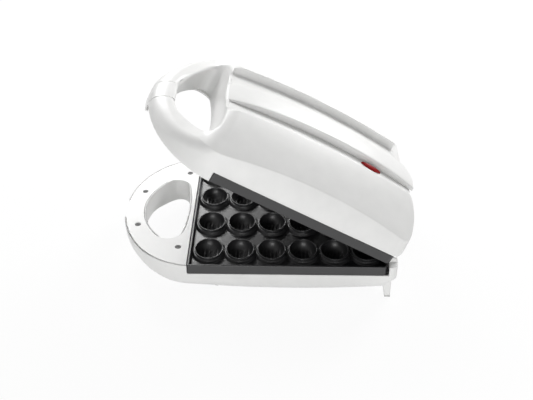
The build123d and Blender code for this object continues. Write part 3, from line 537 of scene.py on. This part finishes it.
def rear_legs(x, y, z):
    """Rear legs, one on each side."""
    front = (LEG_FRONT_X - x) * LEG_FRONT_BACK + (LEG_FRONT_Z - z) * LEG_FRONT_DOWN
    leg = np.maximum(np.maximum(front, x - LEG_REAR_X), np.maximum(z - LEG_TOP, LEG_FOOT - z))
    return round_max(leg, np.abs(np.abs(y) - LEG_Y) - LEG_HALF, LEG_ROUND)


def lower_shell(x, y, z):
    """Lower housing: hollow tray with the neck, hinge knuckles and rear legs."""
    skin = base_skin(x, y, z)
    hole = finger_hole(x, y, z, 0.0)
    outer = round_max(skin, -hole, BASE_HOLE_ROUND)
    solid = round_max(outer, base_top(x, z), BASE_EDGE)
    solid = np.maximum(solid, -cover_pocket(x, y, z, hole))
    hollow = np.maximum(np.maximum(skin, -hole), z + COVER_DEPTH) + SHELL_WALL
    tip = np.maximum(np.abs(y) - CLIP_HALF - TIP_SIDE, x - BASE_TIP_X)
    solid = np.maximum(solid, -np.maximum(hollow, -tip))
    solid = np.maximum(solid, -clip_recess(x, y, z))
    solid = np.maximum(solid, -ear_slot(x, y, z))
    solid = np.minimum(solid, hinge_bar(x, y, z, KNUCKLE_IN_Y, EAR_Y - KNUCKLE_GAP))
    outer_bar = hinge_bar(x, y, z, EAR_Y + EAR_WIDTH + KNUCKLE_GAP, KNUCKLE_OUT_Y)
    solid = np.minimum(solid, outer_bar)
    inlet = np.maximum(np.sqrt(y**2 + (z - INLET_Z) ** 2) - INLET_RADIUS, INLET_FRONT_X - x)
    solid = np.maximum(solid, -inlet)
    return np.minimum(solid, rear_legs(x, y, z))


def plate_plan(x, y):
    """Distance out of a baking plate's plan, with rounded rear corners."""
    rearward = smooth_step(x, -PLATE_ROUND_BLEND, PLATE_ROUND_BLEND)
    corner = PLATE_FRONT_ROUND + (PLATE_REAR_ROUND - PLATE_FRONT_ROUND) * rearward
    return round_max(np.abs(x) - PLATE_HALF_X, np.abs(y) - PLATE_HALF_Y, corner)


def from_cup(value, pitch, count):
    """Place along one direction, counted from the middle of the nearest cup."""
    cup = np.clip(np.round(value / pitch - 0.5), -count // 2, count // 2 - 1) + 0.5
    return value - cup * pitch


def tray_form(x, y, z):
    """Tray of a baking plate with a stepped collar round each cup, its rim at the top."""
    plan = plate_plan(x, y)
    rim_plane = z + RIM_HALF_GAP
    block = round_max(plan, np.maximum(rim_plane, -PLATE_WALL - z), PLATE_EDGE)
    under = np.maximum(plan + UNDER_INSET, np.maximum(rim_plane, -UNDER_DEPTH - z))
    block = np.minimum(block, under)
    tray = round_max(plan + PLATE_RIM, -TRAY_FLOOR - z, TRAY_CORNER)
    block = round_max(block, -tray, TRAY_EDGE)
    cup_x = from_cup(x, CUP_PITCH_X, CUP_COLUMNS)
    cup_y = from_cup(y, CUP_PITCH_Y, CUP_ROWS)
    reach = ellipse_distance(cup_x, cup_y, CUP_X, CUP_Y)
    collar = round_max(reach - COLLAR_WIDTH, rim_plane, COLLAR_ROUND)
    step = round_max(reach - STEP_WIDTH, z + STEP_DEPTH, COLLAR_ROUND)
    foot = FOOT_SCALE * (reach - FOOT_WIDTH - FOOT_SPREAD * (-FOOT_DEPTH - z))
    foot = np.maximum(foot, z + FOOT_DEPTH)
    block = np.minimum(block, np.minimum(collar, step))
    return round_min(block, foot, FOOT_BLEND), cup_x, cup_y


def nut_bowl(cup_x, cup_y, depth, half_x, half_y):
    """Distance out of half a nut: an egg shape about the cup's middle."""
    scaled = (cup_x / half_x) ** 2 + (cup_y / half_y) ** 2 + (depth / half_x) ** 2
    return (np.sqrt(scaled) - 1) * half_x


def nut_grooves(cup_x, cup_y, pitch):
    """Height of the wavy grooves of a walnut."""
    wave = GROOVE_WAVE * np.sin(cup_y / GROOVE_WAVE_LENGTH)
    return GROOVE_HEIGHT * np.cos(2 * pi * cup_x / pitch + wave)


def cup_plate(x, y, z):
    """Lower baking plate: cups with a shallow walnut relief on their floors."""
    block, cup_x, cup_y = tray_form(x, y, z)
    grooves = nut_grooves(cup_x, cup_y, CUP_GROOVE_PITCH) * smooth_step(-z, *CUP_GROOVE_FADE)
    grooves = grooves * (1 - smooth_step(np.abs(cup_y), *CUP_GROOVE_FADE))
    cavity = nut_bowl(cup_x, cup_y, z + RIM_HALF_GAP, CUP_X, CUP_Y) + grooves
    return round_max(block, -cavity, CUP_EDGE)


def core_plate(x, y, z):
    """Upper baking plate: the same tray upside down, with a grooved core for each cup."""
    block, cup_x, cup_y = tray_form(x, y, -z)
    half_x = CUP_X - COOKIE_WALL
    half_y = CUP_Y - COOKIE_WALL
    grooves = nut_grooves(cup_x, cup_y, CORE_GROOVE_PITCH) * smooth_step(-z, *CORE_GROOVE_FADE)
    core = nut_bowl(cup_x, cup_y, z - RIM_HALF_GAP, half_x, half_y) - grooves
    return round_min(block, np.maximum(core, z - CORE_ROOT), FOOT_BLEND)


def top_panel(x, y, z):
    """Long panel in the lid's channel, cut off by the finger hole and the rear wall."""
    crown = PANEL_CROWN * (1 - (y / PANEL_HALF) ** 2)
    top = z - panel_top(x) - crown
    rear = x - PANEL_REAR_X + PANEL_SWEEP * np.maximum(y - PANEL_SWEEP_Y, 0) ** 2
    block = round_max(top, np.abs(y) - PANEL_HALF, PANEL_ROUND)
    block = round_max(block, rear, PANEL_REAR_ROUND)
    block = round_max(block, PANEL_FRONT_GAP - finger_hole(x, y, z, 1.0), HOLE_RIM_ROUND)
    return np.maximum(block, channel_floor(x) + PANEL_LIFT - z)


def clip_form(x, y, z):
    """Latch clip: skin, barrel on the pin and hook."""
    outer = clip_skin_distance(x, y, z)
    skin = round_max(clip_zone(x, y, z, 0.0), outer, CLIP_ROUND)
    skin = np.maximum(skin, CLIP_LOW - z)
    skin = np.maximum(skin, -np.maximum(outer + CLIP_TAIL, z - CLIP_TAIL_TOP))
    reach = HANDLE_X - HANDLE_REACH + CLIP_SKIN + HOOK_REACH
    hook = np.maximum(x - reach, np.maximum(CLIP_LOW - z, z - CLIP_LOW - HOOK_THICK))
    hook = np.maximum(hook, np.maximum(outer, np.abs(y) - CLIP_HALF))
    return np.minimum(skin, hook)


def lens_form(x, y, z):
    """Lamp lens: an eye shape in plan with a domed top."""
    arc = (LENS_HALF_CHORD**2 + LENS_RISE**2) / (2 * LENS_RISE)
    plan = np.sqrt((x - LENS_X) ** 2 + (np.abs(y - LENS_Y) + arc - LENS_RISE) ** 2) - arc
    dome = LENS_EDGE + LENS_DOME * np.sqrt(np.clip(-plan / LENS_RISE, 0, 1))
    body = round_max(plan, LENS_SCALE * (z - channel_floor(x) - dome), LENS_ROUND)
    return np.maximum(body, channel_floor(x) - LENS_DEEP - z)


def edge_crossings(values, cells):
    """Mean of the points where a surface crosses the edges of each cell, in cells."""
    total = np.zeros((len(cells), 3))
    hits = np.zeros(len(cells))
    for a in CORNERS:
        for b in CORNERS:
            if sum(b) - sum(a) != 1 or any(q < p for p, q in zip(a, b)):
                continue
            value_a = values[tuple((cells + a).T)]
            value_b = values[tuple((cells + b).T)]
            cross = (value_a < 0) != (value_b < 0)
            t = np.where(cross, value_a / np.where(cross, value_a - value_b, 1), 0)
            point = np.array(a) + t[:, None] * (np.array(b) - np.array(a))
            total += np.where(cross[:, None], point, 0)
            hits += cross
    return total / hits[:, None]


def net_quads(inside, index):
    """One quad of cell numbers round each grid edge that the surface crosses."""
    quads = []
    for axis in range(3):
        first, second = [n for n in range(3) if n != axis]
        near = [slice(1, -1)] * 3
        near[axis] = slice(0, -1)
        far = list(near)
        far[axis] = slice(1, None)
        start = inside[tuple(near)]
        edges = np.argwhere(start != inside[tuple(far)])
        starts = start[tuple(edges.T)]
        base = edges + np.array([0 if n == axis else 1 for n in range(3)])
        ring = []
        for step_first, step_second in ((-1, -1), (0, -1), (0, 0), (-1, 0)):
            cell = base.copy()
            cell[:, first] += step_first
            cell[:, second] += step_second
            ring.append(index[tuple(cell.T)])
        ring = np.stack(ring, axis=1)
        turn = starts if axis != 1 else ~starts
        ring[~turn] = ring[~turn][:, ::-1]
        quads.append(ring)
    quads = np.concatenate(quads)
    return quads[(quads >= 0).all(axis=1)]


def gradient(field, points, reach):
    """Gradient of a field at points, from its values a little to each side."""
    parts = []
    for axis in range(3):
        offset = np.zeros(3)
        offset[axis] = reach
        rise = field(*(points + offset).T) - field(*(points - offset).T)
        parts.append(rise / (2 * reach))
    return np.stack(parts, axis=1)


def surface_net(field, low, high, step):
    """Vertices, quads and normals of the surface where field is zero, in a box of cells."""
    axes = [np.arange(a, b + step, step, dtype=np.float64) for a, b in zip(low, high)]
    grid = np.meshgrid(*axes, indexing="ij", sparse=True)
    values = np.broadcast_to(field(*grid), [len(a) for a in axes]).astype(np.float64)
    inside = values < 0
    size = [n - 1 for n in values.shape]
    count = np.zeros(size, dtype=np.int8)
    for i, j, k in CORNERS:
        count += inside[i : i + size[0], j : j + size[1], k : k + size[2]]
    cells = np.argwhere((count > 0) & (count < len(CORNERS)))
    index = -np.ones(size, dtype=np.int64)
    index[tuple(cells.T)] = np.arange(len(cells))
    points = np.array(low) + (cells + edge_crossings(values, cells)) * step
    reach = step * SLOPE_REACH
    for _ in range(SETTLE_ROUNDS):
        slopes = gradient(field, points, reach)
        steepness = np.maximum((slopes**2).sum(axis=1), LEAST_STEEPNESS)
        move = (field(*points.T) / steepness)[:, None] * slopes
        points -= np.clip(move, -SETTLE_SHARE * step, SETTLE_SHARE * step)
    normals = gradient(field, points, reach)
    normals /= np.maximum(np.linalg.norm(normals, axis=1), STEEPNESS_NUDGE)[:, None]
    return points, net_quads(inside, index), normals


def swing_open(x, z, centre_x):
    """Turn places or directions about the hinge line by the lid's opening."""
    turned_x = centre_x + x * cos(LID_OPEN) + z * sin(LID_OPEN)
    return turned_x, z * cos(LID_OPEN) - x * sin(LID_OPEN)


def to_row(points, lid):
    """Points in metres from the floor, swung open for a lid piece."""
    x, y, z = points.T
    if lid:
        x, z = swing_open(x - HINGE_X, z, HINGE_X)
    return np.stack([x, y, z + PARTING], axis=1) * MM


def turn_normals(normals, lid):
    """Normals, swung open for a lid piece."""
    x, y, z = normals.T
    if lid:
        x, z = swing_open(x, z, 0.0)
    return np.stack([x, y, z], axis=1)


def make_object(name, points, faces, normals=None):
    """Mesh object with smooth faces, linked to the scene."""
    mesh = bpy.data.meshes.new(name)
    mesh.from_pydata(points.tolist(), [], [list(map(int, f)) for f in faces])
    mesh.validate()
    mesh.shade_smooth()
    if normals is not None and len(mesh.vertices) == len(normals):
        mesh.normals_split_custom_set_from_vertices(normals.tolist())
    piece = bpy.data.objects.new(name, mesh)
    bpy.context.collection.objects.link(piece)
    return piece


def form_piece(name, field, low, high, step, lid):
    """Piece whose surface is the zero of a field."""
    points, quads, normals = surface_net(field, low, high, step)
    return make_object(name, to_row(points, lid), quads, turn_normals(normals, lid))


def noise_node(nodes, links, place, scale, detail):
    """Noise over the piece's own coordinates."""
    noise = nodes.new("ShaderNodeTexNoise")
    noise.inputs["Scale"].default_value = scale
    noise.inputs["Detail"].default_value = detail
    links.new(place.outputs["Object"], noise.inputs["Vector"])
    return noise


def material(name, colour, roughness, metallic=0.0, spread=0.02, scale=60.0, bump=0.02,
             coat=0.0, specular=0.5):
    """Principled surface whose colour, gloss and relief vary a little with noise."""
    made = bpy.data.materials.new(name)
    made.use_nodes = True
    nodes = made.node_tree.nodes
    links = made.node_tree.links
    shader = nodes["Principled BSDF"]
    place = nodes.new("ShaderNodeTexCoord")
    noise = noise_node(nodes, links, place, scale, COLOUR_DETAIL)
    ramp = nodes.new("ShaderNodeValToRGB")
    dark = [max(c * (1 - spread), 0) for c in colour]
    light = [min(c * (1 + spread), 1) for c in colour]
    for stop, position, shade in zip(ramp.color_ramp.elements, COLOUR_STOPS, (dark, light)):
        stop.position = position
        stop.color = (*shade, 1)
    links.new(noise.outputs["Fac"], ramp.inputs["Fac"])
    links.new(ramp.outputs["Color"], shader.inputs["Base Color"])
    gloss = nodes.new("ShaderNodeMapRange")
    gloss.inputs["To Min"].default_value = roughness * (1 - GLOSS_SPREAD)
    gloss.inputs["To Max"].default_value = roughness * (1 + GLOSS_SPREAD)
    links.new(noise.outputs["Fac"], gloss.inputs["Value"])
    links.new(gloss.outputs["Result"], shader.inputs["Roughness"])
    grain = noise_node(nodes, links, place, scale * GRAIN_FINER, GRAIN_DETAIL)
    relief = nodes.new("ShaderNodeBump")
    relief.inputs["Strength"].default_value = bump
    relief.inputs["Distance"].default_value = GRAIN_HEIGHT
    links.new(grain.outputs["Fac"], relief.inputs["Height"])
    links.new(relief.outputs["Normal"], shader.inputs["Normal"])
    shader.inputs["Metallic"].default_value = metallic
    shader.inputs["Coat Weight"].default_value = coat
    shader.inputs["Specular IOR Level"].default_value = specular
    return made


def dress(piece, surface):
    """Give a piece or a node one material."""
    piece.data.materials.clear()
    piece.data.materials.append(surface)


def make_materials():
    """All the surfaces, by name."""
    white = (0.80, 0.80, 0.79)
    coating = (0.013, 0.013, 0.014)
    return {
        "white": material("white_shell", white, 0.42, coat=0.05, bump=0.01),
        "cover": material("white_cover", white, 0.38, bump=0.02),
        "plate": material(
            "coated_plate", coating, 0.42, spread=0.2, bump=0.04, coat=0.15, specular=0.75
        ),
        "steel": material("steel", (0.55, 0.55, 0.56), 0.32, metallic=1.0, scale=200),
        "dark": material("dark_screw", (0.10, 0.10, 0.10), 0.5, metallic=0.3, scale=200),
        "tube": material("heater_tube", (0.20, 0.19, 0.18), 0.5, metallic=0.8, scale=90),
        "sheet": material("shield_sheet", (0.72, 0.73, 0.74), 0.3, metallic=1.0),
        "can": material("sensor_can", (0.5, 0.46, 0.4), 0.35, metallic=1.0),
        "block": material("block_body", (0.72, 0.69, 0.6), 0.55),
        "lead": material("lead_cover", (0.62, 0.16, 0.03), 0.5),
        "rubber": material("foot_rubber", (0.03, 0.03, 0.03), 0.75, bump=0.1),
        "pale": material("pale_pad", (0.6, 0.6, 0.59), 0.7, bump=0.05),
        "lens": material("lens_red", (0.30, 0.006, 0.006), 0.3, specular=0.25, bump=0.0),
        "lamp": material("lamp_body", (0.75, 0.3, 0.15), 0.1),
    }


# The surface of each node
NODE_SURFACES = {
    "lower_handle_cover": "cover",
    "upper_handle_cover": "cover",
    "lower_cover_screws": "dark",
    "upper_cover_screws": "dark",
    "lower_plate_screws": "steel",
    "upper_plate_screws": "steel",
    "lower_plate": "plate",
    "upper_plate": "plate",
    "lower_heater": "tube",
    "upper_heater": "tube",
    "lower_heat_shield": "sheet",
    "upper_heat_shield": "sheet",
    "lower_thermostat": "can",
    "upper_thermostat": "can",
    "thermal_fuse": "can",
    "terminal_block": "block",
    "lower_leads": "lead",
    "cord_inlet_bush": "rubber",
    "hinge_pins": "steel",
    "latch_pin": "steel",
    "front_feet": "rubber",
    "rear_foot_pads": "pale",
    "indicator_lamp": "lamp",
    "lower_housing": "white",
    "upper_housing": "white",
    "upper_top_panel": "white",
    "latch_clip": "white",
    "lamp_lens": "lens",
}


def place_camera():
    """Camera at the photograph's place and angle."""
    ahead = cos(CAMERA_DOWN)
    forward = Vector((sin(CAMERA_YAW) * ahead, cos(CAMERA_YAW) * ahead, -sin(CAMERA_DOWN)))
    right = Vector((cos(CAMERA_YAW), -sin(CAMERA_YAW), 0))
    up = right.cross(forward)
    right_rolled = cos(CAMERA_ROLL) * right + sin(CAMERA_ROLL) * up
    up_rolled = -sin(CAMERA_ROLL) * right + cos(CAMERA_ROLL) * up
    turn = Matrix((right_rolled, up_rolled, -forward)).transposed().to_4x4()
    data = bpy.data.cameras.new("camera")
    data.sensor_width = SENSOR_WIDTH
    data.lens = FOCAL_PIXELS * SENSOR_WIDTH / IMAGE_WIDTH
    camera = bpy.data.objects.new("camera", data)
    x, y, z = CAMERA_PLACE
    camera.matrix_world = Matrix.Translation(Vector((x, y, z + PARTING)) * MM) @ turn
    bpy.context.collection.objects.link(camera)
    bpy.context.scene.camera = camera


def area_lamp(name, place, target_height, size, power):
    """Square soft lamp that points at the object, at a height over its middle."""
    data = bpy.data.lights.new(name, "AREA")
    data.shape = "SQUARE"
    data.size = size
    data.energy = power
    lamp = bpy.data.objects.new(name, data)
    aim = Vector((0, 0, target_height)) - Vector(place)
    turn = aim.to_track_quat("-Z", "Y").to_matrix().to_4x4()
    lamp.matrix_world = Matrix.Translation(place) @ turn
    bpy.context.collection.objects.link(lamp)


def plain_light(nodes, kind, strength):
    """White light of a strength, as a background or an emission node."""
    light = nodes.new(kind)
    light.inputs["Color"].default_value = (1, 1, 1, 1)
    light.inputs["Strength"].default_value = strength
    return light


def make_world():
    """Soft light from all round, seen as white by the camera."""
    world = bpy.data.worlds.new("studio")
    bpy.context.scene.world = world
    world.use_nodes = True
    nodes = world.node_tree.nodes
    links = world.node_tree.links
    nodes.clear()
    output = nodes.new("ShaderNodeOutputWorld")
    soft = plain_light(nodes, "ShaderNodeBackground", WORLD_SOFT)
    white = plain_light(nodes, "ShaderNodeBackground", 1.0)
    path = nodes.new("ShaderNodeLightPath")
    mix = nodes.new("ShaderNodeMixShader")
    links.new(path.outputs["Is Camera Ray"], mix.inputs["Fac"])
    links.new(soft.outputs["Background"], mix.inputs[1])
    links.new(white.outputs["Background"], mix.inputs[2])
    links.new(mix.outputs["Shader"], output.inputs["Surface"])


def make_stage():
    """Pale floor, nearly white when seen or mirrored, with a faint shadow left."""
    corners = [(-1, -1, 0), (1, -1, 0), (1, 1, 0), (-1, 1, 0)]
    floor = make_object("floor", FLOOR_HALF * np.array(corners), [(0, 1, 2, 3)])
    surface = material("floor", FLOOR_COLOUR, 0.8, spread=0.004, scale=3, bump=0.0)
    nodes = surface.node_tree.nodes
    links = surface.node_tree.links
    white = plain_light(nodes, "ShaderNodeEmission", 1.0)
    path = nodes.new("ShaderNodeLightPath")
    seen = path.outputs["Is Camera Ray"]
    for ray in ("Is Glossy Ray", "Is Transmission Ray"):
        either = nodes.new("ShaderNodeMath")
        either.operation = "MAXIMUM"
        links.new(seen, either.inputs[0])
        links.new(path.outputs[ray], either.inputs[1])
        seen = either.outputs[0]
    share = nodes.new("ShaderNodeMath")
    share.operation = "MULTIPLY"
    share.inputs[1].default_value = FLOOR_WHITE
    links.new(seen, share.inputs[0])
    mix = nodes.new("ShaderNodeMixShader")
    links.new(share.outputs[0], mix.inputs["Fac"])
    links.new(nodes["Principled BSDF"].outputs["BSDF"], mix.inputs[1])
    links.new(white.outputs["Emission"], mix.inputs[2])
    links.new(mix.outputs["Shader"], nodes["Material Output"].inputs["Surface"])
    dress(floor, surface)


def place_form(name, field, low, high, step, body, node, surface):
    """Make a piece from a field, dress it and let it stand for a node."""
    piece = form_piece(name, field, low, high, step, body != "base")
    dress(piece, surface)
    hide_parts(node)
    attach(piece, body)


# Each piece with its form, the corners of the box it lies in and the size of a cell in
# millimetres, the body it rides, the node it stands for, its slot and its surface
FORMS = (
    ("lid_shell", upper_shell, (-194, -114, -6), (124, 114, 68), 1.0,
     "lid", "upper_housing", "white_shell", "white"),
    ("lid_panel", top_panel, (-122, -21, 42), (122, 21, 68), 0.8,
     "lid", "upper_top_panel", "white_shell", "white"),
    ("core_plate", core_plate, (-111, -112, -14), (111, 112, 19), 0.8,
     "lid", "upper_plate", "coated_plate", "plate"),
    ("lens", lens_form, (42, -43, 48), (73, -24, 60), 0.4,
     "lid", "lamp_lens", "lens_red", "lens"),
    ("clip_skin", clip_form, (-194, -19, -11), (-164, 19, 23), 0.5,
     "clip", "latch_clip", "white_clip", "white"),
    ("base_shell", lower_shell, (-194, -114, -47), (124, 114, 7), 1.0,
     "base", "lower_housing", "white_shell", "white"),
    ("cup_plate", cup_plate, (-111, -112, -19), (111, 112, 1), 0.7,
     "base", "lower_plate", "coated_plate", "plate"),
)

# Each lamp with its place and the height it points at in metres, its size and its power
LAMPS = (
    ("back", (0.88, 1.04, 0.93), 0.1, 0.6, 18),
    ("left", (-1.1, 0.7, 0.9), 0.08, 0.8, 2),
    ("backdrop", (-0.55, 1.35, 1.0), 0.05, 0.7, 16),
    ("front", (-0.1, -1.9, 0.22), 0.08, 1.2, 23),
)


bpy.context.scene.view_settings.view_transform = "Standard"
place_camera()
make_world()
for lamp in LAMPS:
    area_lamp(*lamp)
make_stage()
surfaces = make_materials()
for node, surface in NODE_SURFACES.items():
    dress(frame["nodes"][node], surfaces[surface])
for name, field, low, high, step, body, node, slot, surface in FORMS:
    place_form(name, field, low, high, step, body, node, surfaces[surface])
